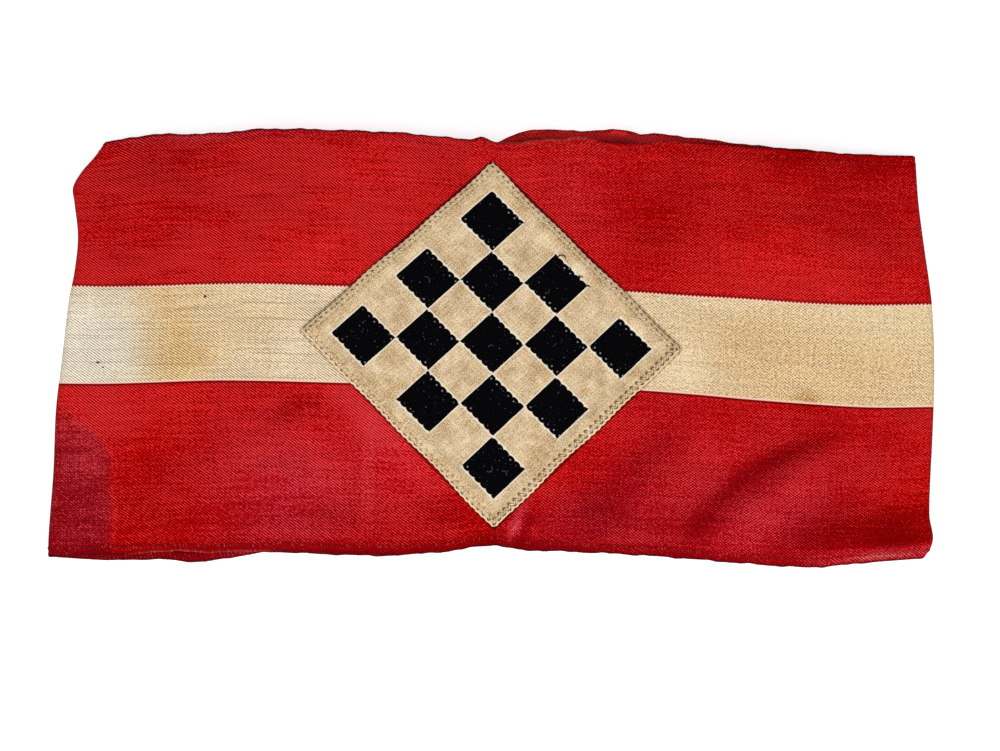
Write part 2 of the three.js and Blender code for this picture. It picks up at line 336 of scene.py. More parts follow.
def fold_height(x, y):
    """What the soft folds and ripples add to the front layer's height."""
    total = 0 * x
    for fold in named(FOLD_COLUMNS, FOLDS.values()):
        down, across = slanted(x, y, fold)
        aside = np.abs(across) / np.where(across > 0, fold["above"], fold["below"])
        total = total + fold["high"] * np.exp(-((down / fold["long"]) ** 2) - aside**CREST_POWER)
    for length, degrees, start, high in RIPPLES:
        angle = math.radians(degrees)
        along = x * math.cos(angle) + y * math.sin(angle)
        total = total + high * np.sin(2 * math.pi * along / length + start)
    return total


def front_middle(x, y):
    """Height of the middle of the front layer's wall: low at the creases, and open between them."""
    from_crease = np.minimum(x - crease(-1, y), crease(1, y) - x)
    rise = smooth_step(from_crease, CREASE_RADIUS + WALL_OUTER, CREASE_RUN)
    creased = WALL_OUTER + 2 * CREASE_RADIUS
    opened = 3 * WALL_OUTER + OPEN_GAP + fold_height(x, y)
    return creased + (opened - creased) * rise


def back_middle(x, share):
    """Height of the middle of the back layer's wall, which lies flat but for its curled edges."""
    total = WALL_OUTER + 0 * x * share
    for edge, middle, wide, lift in CURL_ROWS:
        inward = BAND_HEIGHT * (share if edge == "low" else 1 - share)
        near = np.exp(-((np.maximum(inward, 0) / CURL_DEPTH) ** 2))
        total = total + lift * near * np.exp(-(((x - middle) / wide) ** 4))
    return total


def wall_face(share, face):
    """How far outwards of the wall's middle one of its faces lies."""
    hem = np.array(HEM_ROWS)
    inward = BAND_HEIGHT * np.minimum(share, 1 - share)
    return np.interp(inward, hem[:, 0], hem[:, HEM_COLUMNS.index(face)]) * (1 if face == "outer" else -1)


def layer_end(layer, hand, share):
    """Where a layer meets the bend of a crease."""
    x = crease(hand, weft_height(layer, hand * BAND_REACH, share)) - hand * (CREASE_RADIUS + WALL_OUTER)
    return x, weft_height(layer, x, share)


def wall_points(part, place, share, outwards):
    """Points of the wall. The parts are the front layer, right bend, back layer and left bend, in that order
    round the loop, and place goes from 0 to 1 along each of them."""
    if part in ("front", "back"):
        way = 1 if part == "front" else -1
        start, end = (layer_end(part, hand, share)[0] for hand in (-way, way))
        x = start + (end - start) * place
        y = weft_height(part, x, share)
        wander = edge_wander(part, x, share)
        middle = front_middle(x, y) if part == "front" else back_middle(x, share)
        return np.stack([x, y + wander, middle + outwards * way], axis=-1)
    hand, order = (1, ("front", "back")) if part == "right" else (-1, ("back", "front"))
    first, last = (layer_end(layer, hand, share) for layer in order)
    x, y = (f + (b - f) * place for f, b in zip(first, last))
    angle = math.pi * (0.5 - place) * hand
    radius = CREASE_RADIUS + outwards
    lift = WALL_OUTER + CREASE_RADIUS + radius * np.sin(angle)
    return np.stack([x + hand * radius * np.cos(angle), y, lift], axis=-1)


def cloth_mesh(name, outer, inner, maps, loop):
    """A closed mesh between two grids of points, columns by rows. maps gives two values to each point of the
    grid under a map's name. A loop's maps have one column more than its points, where it closes."""
    columns, rows = outer.shape[:2]
    points = np.concatenate([outer.reshape(-1, 3), inner.reshape(-1, 3)]) * MM
    spans = columns if loop else columns - 1
    i, j = np.meshgrid(np.arange(spans), np.arange(rows - 1), indexing="ij")
    i, j = i.ravel(), j.ravel()
    edge = np.arange(spans)
    low, top = 0 * edge, 0 * edge + rows - 1
    strips = [
        ((i, j, 0), (i + 1, j, 0), (i + 1, j + 1, 0), (i, j + 1, 0)),
        ((i, j, 1), (i, j + 1, 1), (i + 1, j + 1, 1), (i + 1, j, 1)),
        ((edge, low, 1), (edge + 1, low, 1), (edge + 1, low, 0), (edge, low, 0)),
        ((edge, top, 0), (edge + 1, top, 0), (edge + 1, top, 1), (edge, top, 1)),
    ]
    if not loop:
        k = np.arange(rows - 1)
        first, last = 0 * k, 0 * k + columns - 1
        strips.append(((first, k, 0), (first, k + 1, 0), (first, k + 1, 1), (first, k, 1)))
        strips.append(((last, k, 1), (last, k + 1, 1), (last, k + 1, 0), (last, k, 0)))
    column, row, side = (
        np.concatenate([np.stack([0 * c[0] + c[n] for c in strip], axis=1) for strip in strips])
        for n in range(3)
    )
    faces = side * columns * rows + (column % columns) * rows + row
    mesh = bpy.data.meshes.new(name)
    mesh.from_pydata(points.tolist(), [], faces.tolist())
    for label, values in maps.items():
        places = np.stack([v[column, row] for v in values], axis=-1)
        mesh.uv_layers.new(name=label).data.foreach_set("uv", places.astype(np.float32).ravel())
    mesh.shade_smooth()
    return mesh


# The patch's corners, which also say where its seam lies on the band
PATCH_CORNERS = {"left": (-45.7, 4.1), "top": (0.3, 44.5), "right": (45.8, -0.4), "bottom": (0.7, -43.4)}

# Places where the front layer's colour is changed: the middle of each, in millimetres along the band and up
# it, its direction and half sizes. Light is how much paler it is, or darker if negative. Along the folds,
# the creases and the roll of the lower right edge it is painted shade and painted light; elsewhere it is
# wear, stains, and broader paler or darker patches. Crimson is how far the red leans to crimson, and above
# about 2 to a dusty red.
# Tan is how far the cream leans to tan. What a row leaves out is 0.
MARK_COLUMNS = ("x", "y", "degrees", "wide", "high", "light", "crimson", "tan")
WEAR_AND_PAINTED_LIGHT = {
    "upper left, dull": (-84, 90, 0, 30, 22, -0.1),
    "above the stripe, left": (-52, 68, 0, 36, 8, 0.1),
    "upper right, dull": (92, 88, 0, 26, 24, -0.12),
    "above the stripe, right": (72, 70, 0, 32, 8, 0.2),
    "upper edge, middle": (-32, 84, 0, 14, 13, 0.11),
    "upper edge, right of the middle": (41, 80, -20, 15, 15, -0.2),
    "under the stripe, left": (-90, 34, 0, 16, 10, 0.22, 0.1),
    "lower left corner, dull": (-102, 16, 0, 13, 24, -0.08),
    "lower left, plain": (-78, 22, 0, 14, 18, -0.14, -0.1),
    "lower left, more crimson": (-50, 13, 0, 18, 14, 0, 1.0),
    "left of the lower tip, more crimson": (-24, 22, 0, 12, 16, 0.02, 0.25),
    # Painted light on one side of the crease below the lower tip, and painted shade on the other
    "crease below the lower tip": (6, 5.6, 70, 5.5, 1.3, 0.4, 1.9),
    "crease below the lower tip, painted shaded side": (8.6, 5.4, 70, 5.5, 1.2, -0.3),
    "beside the patch, more crimson": (40, 34, -12, 10, 6, -0.06, 0.2),
    "left of the patch, rubbed": (-28, 31, -46, 17, 4, 0.22, 0.3),
    # Painted shade along a slanting crease
    "left of the patch, painted shade of a slanting crease": (-48, 34, 35, 7, 2.4, -0.22),
    "left of the lower tip, pale streak": (-29.5, 19, 88, 13, 1.7, 0.14, 0.3),
    "right of the patch, dull": (38, 24, 48, 11, 5, -0.3, 0.4),
    "right of the patch, dull foot": (26, 13, 52, 10, 6, -0.26, 0.4),
    "right of the lower tip, more crimson": (20, 7, 10, 14, 6, 0.02, 0.6),
    "under the stripe, right": (66, 36, -8, 34, 6, -0.08),
    "lower right, more crimson": (54, 13, 20, 30, 14, -0.08, 0.8),
    "right of the upper tip, more crimson": (21, 88, 0, 13, 9, 0.03, 0.3),
    "upper right corner, more crimson": (95, 94, 0, 12, 8, 0.03, 0.2),
    # Painted shade along the dark flank of the slanting fold, and painted darker on its lit side as well
    "slanting fold, painted shade, upper end": (76, 30, 20, 7, 2.2, -0.34),
    "slanting fold, painted shade, middle": (66.5, 25, 31, 7.5, 2.4, -0.42),
    "slanting fold, painted shade, lower end": (57, 17, 46, 8, 2.6, -0.39),
    "slanting fold, painted shade, foot": (50.5, 9, 58, 6, 2.8, -0.3),
    "slanting fold, lit side": (76, 12, 34, 14, 6, -0.18, 0.4),
    # Painted shade beside the roll of the lower right edge, a dusty red with a painted lit lip along it, and
    # painted light and shade on the bulge to its left
    "lower right corner, painted shade above the roll": (97, 9.5, 4, 12, 4.4, -0.6),
    "lower right corner, painted shade beside the roll": (98, 5.2, 3, 14, 1.6, -0.5),
    "lower right edge, dusty, with a painted lit lip": (95, 1.6, 0, 15, 1.9, 0.16, 2.4),
    "lower right, lit bulge": (65, 9.5, 24, 7, 5, 0.18, 0.3),
    "lower right, dark side of the bulge": (78, 6.5, 14, 7, 3.4, -0.3),
    # Darker along the lower hem and the upper hem
    "lower hem, darker": (-15, 0, 0, 95, 2.6, -0.75, 0.3),
    "above the lower hem, dull": (-10, 8, 0, 110, 5, -0.2),
    "upper hem, left, darker": (-80, 101, 0, 70, 1.6, -0.2, 1.0),
    "upper hem, right, darker": (85, 100, -2, 32, 4.5, -0.3),
    "left end of the stripe, pale": (-97, 54, 0, 10, 12, 0.2),
    "left of the patch's tip, pale": (-47, 50, 0, 5, 6, 0.2),
    "right of the patch's tip, pale": (46, 46, 0, 7, 7, 0.2),
    "stripe, right, dull": (62, 54, 0, 12, 8, -0.1),
    "right end of the stripe, pale": (94, 59, 0, 14, 7, 0.12),
    "tan stain right of the pale end": (-77, 52, 0, 11, 26, 0, 0, 0.5),
    "tan stain, lower half": (-73, 46, 0, 8, 8, 0, 0, 0.35),
    "left end of the stripe, yellowed top": (-94, 63, 0, 14, 5, 0, 0, 0.35),
    "tan stain, faint right side": (-60, 57, 0, 12, 10, 0, 0, 0.25),
    "yellowed right stretch": (82, 50, 0, 50, 22, 0, 0, 0.55),
    "yellowed middle": (-40, 50, 0, 22, 20, 0, 0, 0.2),
    "grey mark near the right end": (76, 41, 0, 3.5, 2.5, -0.25, 0, 0.3),
}
# The same for the back layer, where its edges show past the front ones: painted light along its upper edge
# and its lower curl, and along its lower edge a painted shadow, more crimson, under the front layer's edge
BACK_PAINTED_LIGHT = {
    "upper edge, lit": (14, 99, 0, 12, 4, 0.45),
    "upper edge, lit curl": (32, 98, 0, 9, 3, 0.8),
    "upper edge, right": (50, 99, 0, 10, 3, 0.4),
    "lower edge, crimson with painted shadow under the front layer": (-76, 1, 0, 30, 4, -0.55, 0.8),
    "lower edge, lit curl": (-60, 1, 0, 7, 2.5, 0.35, 0.3),
}


def hump(x, y, place):
    """A smooth hump at a row's place, 1 at its middle."""
    down, across = slanted(x, y, place)
    return np.exp(-((down / place["wide"]) ** 2) - (across / place["high"]) ** 2)


def soft_marks(marks, x, y, column):
    """The sum of one column of a table of wear and painted light, each row a smooth hump."""
    total = 0 * x
    for mark in named(MARK_COLUMNS, marks.values()):
        if mark.get(column):
            total = total + mark[column] * hump(x, y, mark)
    return total


# Stretches of the front layer's edges that are rubbed pale, from one place to another, and how far such an
# edge rolls towards the eye
PALE_EDGES = [
    ("low", -86, -52, 0.4),
    ("top", 2, 24, 0.55),
    ("top", 35, 48, 0.3),
]
PALE_SOFT = 3.0
EDGE_ROLL = 1.1


def edge_paleness(edge, x):
    """How pale an edge of the front layer is at x, from 0 to 1."""
    total = 0 * x
    for rubbed, start, end, pale in PALE_EDGES:
        if rubbed == edge:
            begun = smooth_step(x, start - PALE_SOFT, start + PALE_SOFT)
            ended = smooth_step(x, end - PALE_SOFT, end + PALE_SOFT)
            total = np.maximum(total, begun * (1 - ended) * pale)
    return total


FRONT_STEPS = 214
BACK_STEPS = 107
BEND_STEPS = 8
ROW_STEP = 1.0
NO_SEAM = -50.0


def band_mesh():
    """The band as columns round the loop, with the maps that its finish reads."""
    hem = np.array(HEM_ROWS)[:, 0] / BAND_HEIGHT
    middle = np.arange(hem[-1], 1 - hem[-1], ROW_STEP / BAND_HEIGHT)[1:]
    share = np.concatenate([hem, middle, 1 - hem[::-1]])
    steps = (("left", BEND_STEPS), ("front", FRONT_STEPS), ("right", BEND_STEPS), ("back", BACK_STEPS))
    columns = [(part, k / count) for part, count in steps for k in range(count)]
    columns.append(columns[0])
    outer, inner = (
        np.array([wall_points(part, place, share, wall_face(share, face)) for part, place in columns])
        for face in ("outer", "inner")
    )
    # Places in the weave are millimetres along the loop, x itself on the front layer, and up the band.
    bent = np.array([[[1, 1, part in ("right", "left")]] for part, place in columns[:-1]])
    gaps = np.linalg.norm(np.diff(outer, axis=0) * bent, axis=-1)
    passed = np.concatenate([0 * gaps[:1], np.cumsum(gaps, axis=0)])
    along = passed + outer[BEND_STEPS, :, 0] - passed[BEND_STEPS]
    up = np.broadcast_to(share * BAND_HEIGHT, along.shape)
    # Wear and painted light show on the front layer and on the visible part of both bends.
    shown = {"left": (0.4, 1), "front": (0, 1), "right": (0, 0.6), "back": (2, 2)}
    facing = np.array([[shown[part][0] <= place <= shown[part][1]] for part, place in columns]) * 1.0
    bend = np.array([[math.sin(math.pi * place) * (part in ("right", "left"))] for part, place in columns])
    inside = np.full(along.shape, np.inf)
    corners = [np.array(c) for c in PATCH_CORNERS.values()]
    for start, end in zip(corners, corners[1:] + corners[:1]):
        side = (end - start) / np.linalg.norm(end - start)
        from_side = (outer[..., 0] - start[0]) * side[1] - (outer[..., 1] - start[1]) * side[0]
        inside = np.minimum(inside, from_side)
    behind = np.array([[part == "back"] for part, place in columns])
    light, crimson, tan = (
        soft_marks(WEAR_AND_PAINTED_LIGHT, along, up, column) * facing
        + soft_marks(BACK_PAINTED_LIGHT, outer[..., 0], up, column) * behind
        for column in ("light", "crimson", "tan")
    )
    pale = sum(
        edge_paleness(edge, along) * (inward < 0.5) * facing
        for edge, inward in (("low", up / BAND_HEIGHT), ("top", 1 - up / BAND_HEIGHT))
    )
    # The wear map holds painted light and shade as well as wear.
    maps = {
        "weave": (along, up),
        "seam": (np.where(facing > 0, inside, NO_SEAM), bend + 0 * along),
        "wear": (light, crimson),
        "stain": (tan, pale),
    }
    return cloth_mesh("band", outer[:-1], inner[:-1], maps, loop=True)


def add_piece(name, mesh, finish, node=None):
    """A piece that goes with the armband, and stands for a solid of it where node names one."""
    mesh.materials.append(finish)
    piece = bpy.data.objects.new(name, mesh)
    bpy.context.collection.objects.link(piece)
    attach(piece, "root")
    if node:
        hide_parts(node)
    return piece


class Field:
    """A value or colour that varies over a surface."""

    def __init__(self, tree, socket=None):
        self.tree = tree
        self.socket = socket

    def node(self, kind, inputs=None, output=0, **settings):
        made = self.tree.nodes.new("ShaderNode" + kind)
        for key, value in settings.items():
            setattr(made, key, value)
        for key, value in (inputs or {}).items():
            if isinstance(value, Field):
                self.tree.links.new(value.socket, made.inputs[key])
            else:
                made.inputs[key].default_value = value
        return Field(self.tree, made.outputs[output])

    def feeds(self, shader, name):
        """This field drives one of the shader's inputs."""
        self.tree.links.new(self.socket, shader.inputs[name])

    def math(self, operation, *values):
        return self.node("Math", dict(enumerate((self, *values))), operation=operation)

    __add__ = __radd__ = partialmethod(math, "ADD")
    __sub__ = partialmethod(math, "SUBTRACT")
    __mul__ = __rmul__ = partialmethod(math, "MULTIPLY")
    __truediv__ = partialmethod(math, "DIVIDE")
    __abs__ = partialmethod(math, "ABSOLUTE")
    __lt__ = partialmethod(math, "LESS_THAN")
    __gt__ = partialmethod(math, "GREATER_THAN")

    def __rsub__(self, other):
        return self * -1 + other

    def wave(self, length=1.0):
        """A wave from 0 to 1, once for each length."""
        return (self * (2 * math.pi / length)).math("SINE") * 0.5 + 0.5

    def cycle(self, length):
        """How far this is through each length, from -0.5 to 0.5."""
        return (self / length).math("FRACT") - 0.5

    def ramp(self, low, high):
        """A smooth rise from 0 at low to 1 at high."""
        limits = {"Value": self, "From Min": low, "From Max": high}
        return self.node("MapRange", limits, interpolation_type="SMOOTHSTEP")

    def within(self, half, soft):
        """1 where this is nearer to 0 than half, with a soft border."""
        return 1 - abs(self).ramp(half - soft, half + soft)

    def pair(self, label):
        """Both values of one of the mesh's maps."""
        place = self.node("UVMap", uv_map=label)
        return [self.node("SeparateXYZ", {0: place}, output=k) for k in (0, 1)]

    def noise(self, other, detail=1.0, roughness=0.5, shift=0.0):
        """Uneven cloud about 0, over this value and another, with clouds about 1 across."""
        place = self.node("CombineXYZ", {0: self, 1: other, 2: shift})
        inputs = {"Vector": place, "Scale": 1.0, "Detail": detail, "Roughness": roughness}
        return self.node("TexNoise", inputs) - 0.5

    def mix(self, low, high):
        """The colour low where this is 0, and high where it is 1."""
        return self.node("Mix", {0: self, 6: low, 7: high}, output=2, data_type="RGBA")

    def shade(self, *colours):
        """Colours spread evenly from where this is 0 to where it is 1, each given as it looks."""
        spans = len(colours) - 1
        made = looks(*colours[0])
        for k, colour in enumerate(colours[1:]):
            limits = {"Value": self, "From Min": k / spans, "From Max": (k + 1) / spans}
            made = self.node("MapRange", limits).mix(made, looks(*colour))
        return made

    def bump(self, strength, depth):
        """The surface's direction where this is its height, in shares of depth."""
        return self.node("Bump", {"Strength": strength, "Distance": depth * MM, "Height": self})


def finish_of(name, roughness=0.95, specular=0.02):
    """A new material of dull yarn, its first field, and its shader."""
    made = bpy.data.materials.new(name)
    made.use_nodes = True
    shader = made.node_tree.nodes["Principled BSDF"]
    shader.inputs["Roughness"].default_value = roughness
    shader.inputs["Specular IOR Level"].default_value = specular
    return made, Field(made.node_tree), shader


RIB_RISE = 0.67
RIB_RUN = 0.93
RIB_SLOPE = math.hypot(RIB_RISE, RIB_RUN)
RIB_DEEP = 0.08
GRAIN = 0.3

# The height of the teeth where the stripes join, how far in the hem's stitches lie, how far from the middle
# the damp corner begins, and how high it goes before it narrows
TOOTH = 0.34
HEM_LINE = 2.05
DAMP_START = 91.4
DAMP_HEIGHT = 21.0

# Each yarn's colours, from the hollows between its ribs to their tops: the yarn's own unevenness, with
# painted shade in the hollows and a painted sheen on the tops
RED = ((120, 0, 0), (170, 0, 0), (193, 2, 4), (247, 57, 59))
CRIMSON = ((120, 2, 10), (168, 6, 18), (194, 22, 35), (243, 80, 92))
DUSTY_RED = ((140, 30, 34), (184, 62, 62), (232, 132, 128))
DAMP_RED = ((108, 0, 8), (138, 6, 18), (164, 30, 42), (212, 84, 96))
RUBBED_RED = ((160, 30, 34), (204, 84, 78), (240, 150, 132))
IVORY = ((164, 140, 106), (244, 224, 192), (255, 255, 244))
GOLDEN = ((152, 104, 50), (222, 179, 117), (255, 234, 182))

# Shades that lie over the yarn. The seam's painted shade, along the patch's edge, is given on the red and on
# the cream. The hem's shade and the edge shade are painted shade too.
JOIN_SHADE = looks(96, 0, 2)
JOIN_BLUSH = looks(255, 208, 190)
DARK_SLUB = looks(154, 128, 92)
SPECK_BROWN = looks(98, 60, 44)
SEAM_SHADE = (looks(74, 8, 8), looks(112, 82, 46))
HEM_SHADE = looks(104, 0, 6)
EDGE_SHADE = looks(62, 4, 16)

# Small dark specks on the cream stripe: places along and up the band, and half sizes
SPECKS = [
    (-66.0, 64.5, 0.5, 0.22),
    (-68.7, 61.2, 0.45, 0.4),
    (-94.7, 45.6, 0.5, 0.3),
    (-93.5, 44.4, 0.35, 0.25),
]


def band_finish():
    """Twill of red and cream yarn, with its ribs, the join of the stripes, stains and fading."""
    made, start, shader = finish_of("striped_twill")
    along, up = start.pair("weave")
    seam, bend = start.pair("seam")
    light, crimson = start.pair("wear")
    tan, pale = start.pair("stain")

    # The join of the yarns is toothed along the upper edge of the cream, and even along its lower one.
    low, high = STRIPE_LOW * BAND_HEIGHT, STRIPE_HIGH * BAND_HEIGHT
    teeth = ((along / RIB_RUN).wave() - 0.5) * TOOTH
    cream = up.ramp(low - 0.06, low + 0.06) * (1 - (up + teeth).ramp(high - 0.08, high + 0.08))

    # The lower left corner was once damp, which has left it purple and laid its weave open.
    cloud = (along / 9).noise(up / 6, 4.0, 0.6)
    above = (up - DAMP_HEIGHT).math("MAXIMUM", 0.0)
    tide = along + above * above * 0.06 + DAMP_START - cloud * 5.0
    damp = (1 - tide.ramp(-2.4, 1.2)) * (1 - (up + cloud * 30).ramp(22, 44))
    tidemark = (tide - 0.6).within(0.6, 0.6) * (1 - up.ramp(20, 40)) * 0.12
    weave = (along / 0.56).wave() + (up / 0.6).wave() - 1

    # The ribs are lines of dashes, one for each yarn that passes over. Yarns wander, so the ribs do too, and
    # to the right the dashes stand out more than the lines.
    drift = (along / 7).noise(up / 5, 2.0) * 0.7
    ribs = up / RIB_RISE + along / RIB_RUN + drift
    rib = ribs.wave() - 0.5
    dotted = along.ramp(-40, 30)
    dots = (along / RIB_RUN - up / RIB_RISE + drift).wave() - 0.5
    down = (along * RIB_RUN - up * RIB_RISE) / RIB_SLOPE
    dash = (down / 0.7).noise(ribs * 1.1)
    grain = (along / GRAIN).noise(up / GRAIN)
    slub = (along / 16).noise(up / 0.7, 3.0, 0.6)
    warp = (along / 0.6).noise(up / 14, 2.0)
    clear = (along / 22).noise(up / 14, 2.0).ramp(-0.12, 0.12) * 0.6 + 0.65
    plain = cream * dotted * 0.45 + (1 - dotted) * (1 - up.ramp(26, 36)) * 0.25
    lines = rib * (1.25 - dotted * 0.5 - damp * 0.7) + dots * dotted * 0.5 + weave * damp * 0.2
    rough = plain * 1.4 + dotted * (1 - cream) * 0.9 + 1.2
    relief = lines * clear * (1 - plain) + dash * 1.2 + grain * rough
    streaks = slub * (0.8 + (1 - dotted) * up.ramp(62, 72) * 0.4 - cream * dotted * 0.4)
    tone = relief + streaks + warp * 0.35 + cloud * (damp * 0.7 + 0.24) + tidemark + light + 0.52

    # The dye has run a little along the join, and each side of it lies in the other's shade.
    blush = (up - (low + 0.2)).within(0.22, 0.1) + (up + teeth - (high - 0.16)).within(0.18, 0.12)
    shade_low = (up - (low - 0.28)).within(0.26, 0.14)
    shade_high = (up + teeth - (high + 0.25)).within(0.3, 0.2)

    # Red yarn
    red = crimson.mix(tone.shade(*RED), tone.shade(*CRIMSON))
    red = (crimson.ramp(1.6, 2.6) * 0.8).mix(red, tone.shade(*DUSTY_RED))
    red = (damp * 0.85).mix(red, tone.shade(*DAMP_RED))
    red = ((shade_low + shade_high * 0.8) * 0.8).mix(red, JOIN_SHADE)

    # Cream yarn
    stained = (along + cloud * 11).ramp(-89, -80.5)
    yellow = stained * (tan * (cloud * 1.4 + 0.9) + 0.3) + (1 - stained) * tan * 0.7
    ivory = yellow.mix(tone.shade(*IVORY), tone.shade(*GOLDEN))
    line = (along / 34).noise(up / 0.34, 1.0, 0.5, 4.0).ramp(0.11, 0.18)
    ivory = (line * (0.55 - dotted * 0.35)).mix(ivory, DARK_SLUB)
    for x, y, wide, high in SPECKS:
        dx, dy = (along - x) / wide, (up - y) / high
        ivory = (1 - (dx * dx + dy * dy).ramp(0.3, 1.3)).mix(ivory, SPECK_BROWN)
    ivory = (blush * 0.9).mix(ivory, JOIN_BLUSH)

    # Painted shade lies where the patch is sewn down, along the lower hem's line of stitches, and along the
    # outermost edges and the bends of the creases. The edges are pale where rubbed.
    colour = cream.mix(red, ivory)
    dashes = (along / 1.2).wave() * 0.5 + 0.15
    sewn = (seam + 0.2 + grain * 0.3).within(0.3, 0.16) * (0.85 - cream * dashes)
    colour = sewn.mix(colour, cream.mix(*SEAM_SHADE))
    inward = BAND_HEIGHT / 2 - abs(up - BAND_HEIGHT / 2)
    sunk = (up + pale * EDGE_ROLL - HEM_LINE + slub * 0.4).within(0.3, 0.2)
    colour = (sunk * 0.35).mix(colour, HEM_SHADE)
    rubbed = (1 - (inward + grain * 0.9 + cloud * 0.5).ramp(0.15, 0.5)) * pale
    colour = rubbed.mix(colour, (grain * 2 + 0.5).shade(*RUBBED_RED))
    # Painted shade darkens the outermost edges and the bends of the creases, but not where the edges are
    # pale.
    rim = (1 - up.ramp(0.3, 0.8)).math("MAXIMUM", (up - BAND_HEIGHT).ramp(-0.45, -0.15)) * (1 - pale)
    rim = rim.math("MAXIMUM", bend.ramp(0.76, 0.96))
    colour = (rim * (0.75 - cream * 0.65)).mix(colour, EDGE_SHADE)
    colour.feeds(shader, "Base Color")
    (relief + slub * 0.4 + warp * 0.2).bump(0.5, RIB_DEEP).feeds(shader, "Normal")
    return made


band = add_piece("band_cloth", band_mesh(), band_finish(), "band")

# The threads of the band's edges
# A line of short slanting stitches holds each hem, and fine loops of yarn go over the very edge. They are
# red, and rubbed pale where the edge of the front layer shows most. The loops are dark red, as painted shade
# along the outline.

# Each thread's points go along the edge, in from it and outwards of the wall.
HEM_STITCH = [
    (-0.16, 2.40, 0.38),
    (-0.08, 2.22, 0.54),
    (0.08, 1.88, 0.52),
    (0.16, 1.70, 0.36),
]
EDGE_LOOP = [
    (-0.20, 0.72, 0.36),
    (-0.12, 0.42, 0.38),
    (-0.02, 0.05, 0.18),
    (0.04, 0.03, -0.14),
    (0.14, 0.40, -0.58),
    (0.22, 0.72, -0.60),
]

# Both kinds of thread, with their pitch, thickness and shade, and how much paler they are where rubbed
THREAD_KINDS = [
    ("hem_stitches", HEM_STITCH, 0.7, 0.2, 0.44, 0.1),
    # The edge loops' dark shade is painted shade along the outline.
    ("edge_loops", EDGE_LOOP, 0.42, 0.18, 0.1, 1.0),
]
PART_LENGTHS = (("front", 208.0), ("right", 5.0), ("back", 208.0), ("left", 5.0))
SCATTER_ALONG = 0.08
SCATTER_INWARD = 0.025
UPPER_SINK = 0.07
THREAD_TAPER = 0.7
THREAD_SIDES = 4


def add_threads(name, paths, finish, thick, shade, across=(0, 0, 1)):
    """Many fine threads as one piece. paths is threads by points by x, y and z, shade is a value for each
    thread, and across is a direction that the threads don't run in."""
    tangent = np.gradient(paths, axis=1)
    tangent /= np.linalg.norm(tangent, axis=-1, keepdims=True)
    across = np.broadcast_to(np.asarray(across, float), (len(paths), 1, 3))
    side = np.cross(tangent, across)
    side /= np.linalg.norm(side, axis=-1, keepdims=True)
    lift = np.cross(side, tangent)
    count, length = paths.shape[:2]
    ring = np.arange(THREAD_SIDES)
    angles = 2 * math.pi * ring / THREAD_SIDES
    taper = np.ones(length)
    taper[[0, -1]] = THREAD_TAPER
    turn = np.cos(angles)[:, None] * side[:, :, None] + np.sin(angles)[:, None] * lift[:, :, None]
    rings = paths[:, :, None] + turn * taper[None, :, None, None] * thick / 2
    i, j, k = np.meshgrid(np.arange(count), np.arange(length - 1), ring, indexing="ij")

    def at(i, j, k):
        return (i * length + j) * THREAD_SIDES + k % THREAD_SIDES

    quads = np.stack([at(i, j, k), at(i, j, k + 1), at(i, j + 1, k + 1), at(i, j + 1, k)], axis=-1)
    each = np.arange(count)[:, None]
    caps = np.concatenate([at(each, 0, ring[::-1]), at(each, length - 1, ring)])
    mesh = bpy.data.meshes.new(name)
    mesh.from_pydata((rings.reshape(-1, 3) * MM).tolist(), [], quads.reshape(-1, 4).tolist() + caps.tolist())
    loose = np.random.default_rng(7).random(count)
    owner = np.concatenate([np.repeat(i.ravel(), 4), np.repeat(np.tile(np.arange(count), 2), THREAD_SIDES)])
    places = np.stack([np.broadcast_to(shade, count)[owner], loose[owner]], axis=-1)
    mesh.uv_layers.new(name="thread").data.foreach_set("uv", places.astype(np.float32).ravel())
    mesh.shade_smooth()
    add_piece(name, mesh, finish)


def edge_threads(profile, pitch):
    """Threads of one kind along both edges of the whole loop: their points, the way along the edge, and how
    pale each is."""
    rng = np.random.default_rng(3)
    profile = np.array(profile)
    paths, ways, shades = [], [], []
    for edge in ("low", "top"):
        for part, length in PART_LENGTHS:
            count = round(length / pitch)
            middle = ((np.arange(count) + 0.5) / count)[:, None]
            place = middle + (profile[:, 0] + rng.normal(0, SCATTER_ALONG, (count, 1))) / length
            # A rubbed edge has rolled, which brings its stitches nearer to it. The upper hem's stitches are
            # drawn deeper into the cloth.
            pale = edge_paleness(edge, (middle - 0.5) * length) * (part == "front")
            stitched = profile[:, 1] > 1
            rolled = EDGE_ROLL * pale * stitched
            share = (profile[:, 1] - rolled + rng.normal(0, SCATTER_INWARD, (count, 1))) / BAND_HEIGHT
            share = share if edge == "low" else 1 - share
            outwards = profile[:, 2] - UPPER_SINK * (edge == "top") * stitched
            path = wall_points(part, place, share, outwards + 0 * place)
            ahead = wall_points(part, place[:, :1] + 0.2 / length, share[:, :1], profile[0, 2])
            paths.append(path)
            ways.append(ahead - path[:, :1])
            shades.append(pale[:, 0])
    return np.concatenate(paths), np.concatenate(ways), np.concatenate(shades)


def thread_finish(name, *colours):
    """Yarn whose colour goes from dark to pale with the thread's own shade."""
    made, start, shader = finish_of(name)
    shade, loose = start.pair("thread")
    (shade + (loose - 0.5) * 0.5).shade(*colours).feeds(shader, "Base Color")
    return made


red_thread = thread_finish("red_thread", (80, 4, 14), (176, 20, 24), (236, 122, 112))
for name, profile, pitch, thick, shade, paler in THREAD_KINDS:
    paths, ways, pale = edge_threads(profile, pitch)
    add_threads(name, paths, red_thread, thick, shade + pale * paler, ways)

# The patch
# A lozenge of finer cream cloth with a black chequer woven in. Its edges are turned under, so they are a
# little thicker, and it is sewn flat on the middle of the front layer.
PATCH_SIDE = 62.7
PATCH_SEAT = 0.04

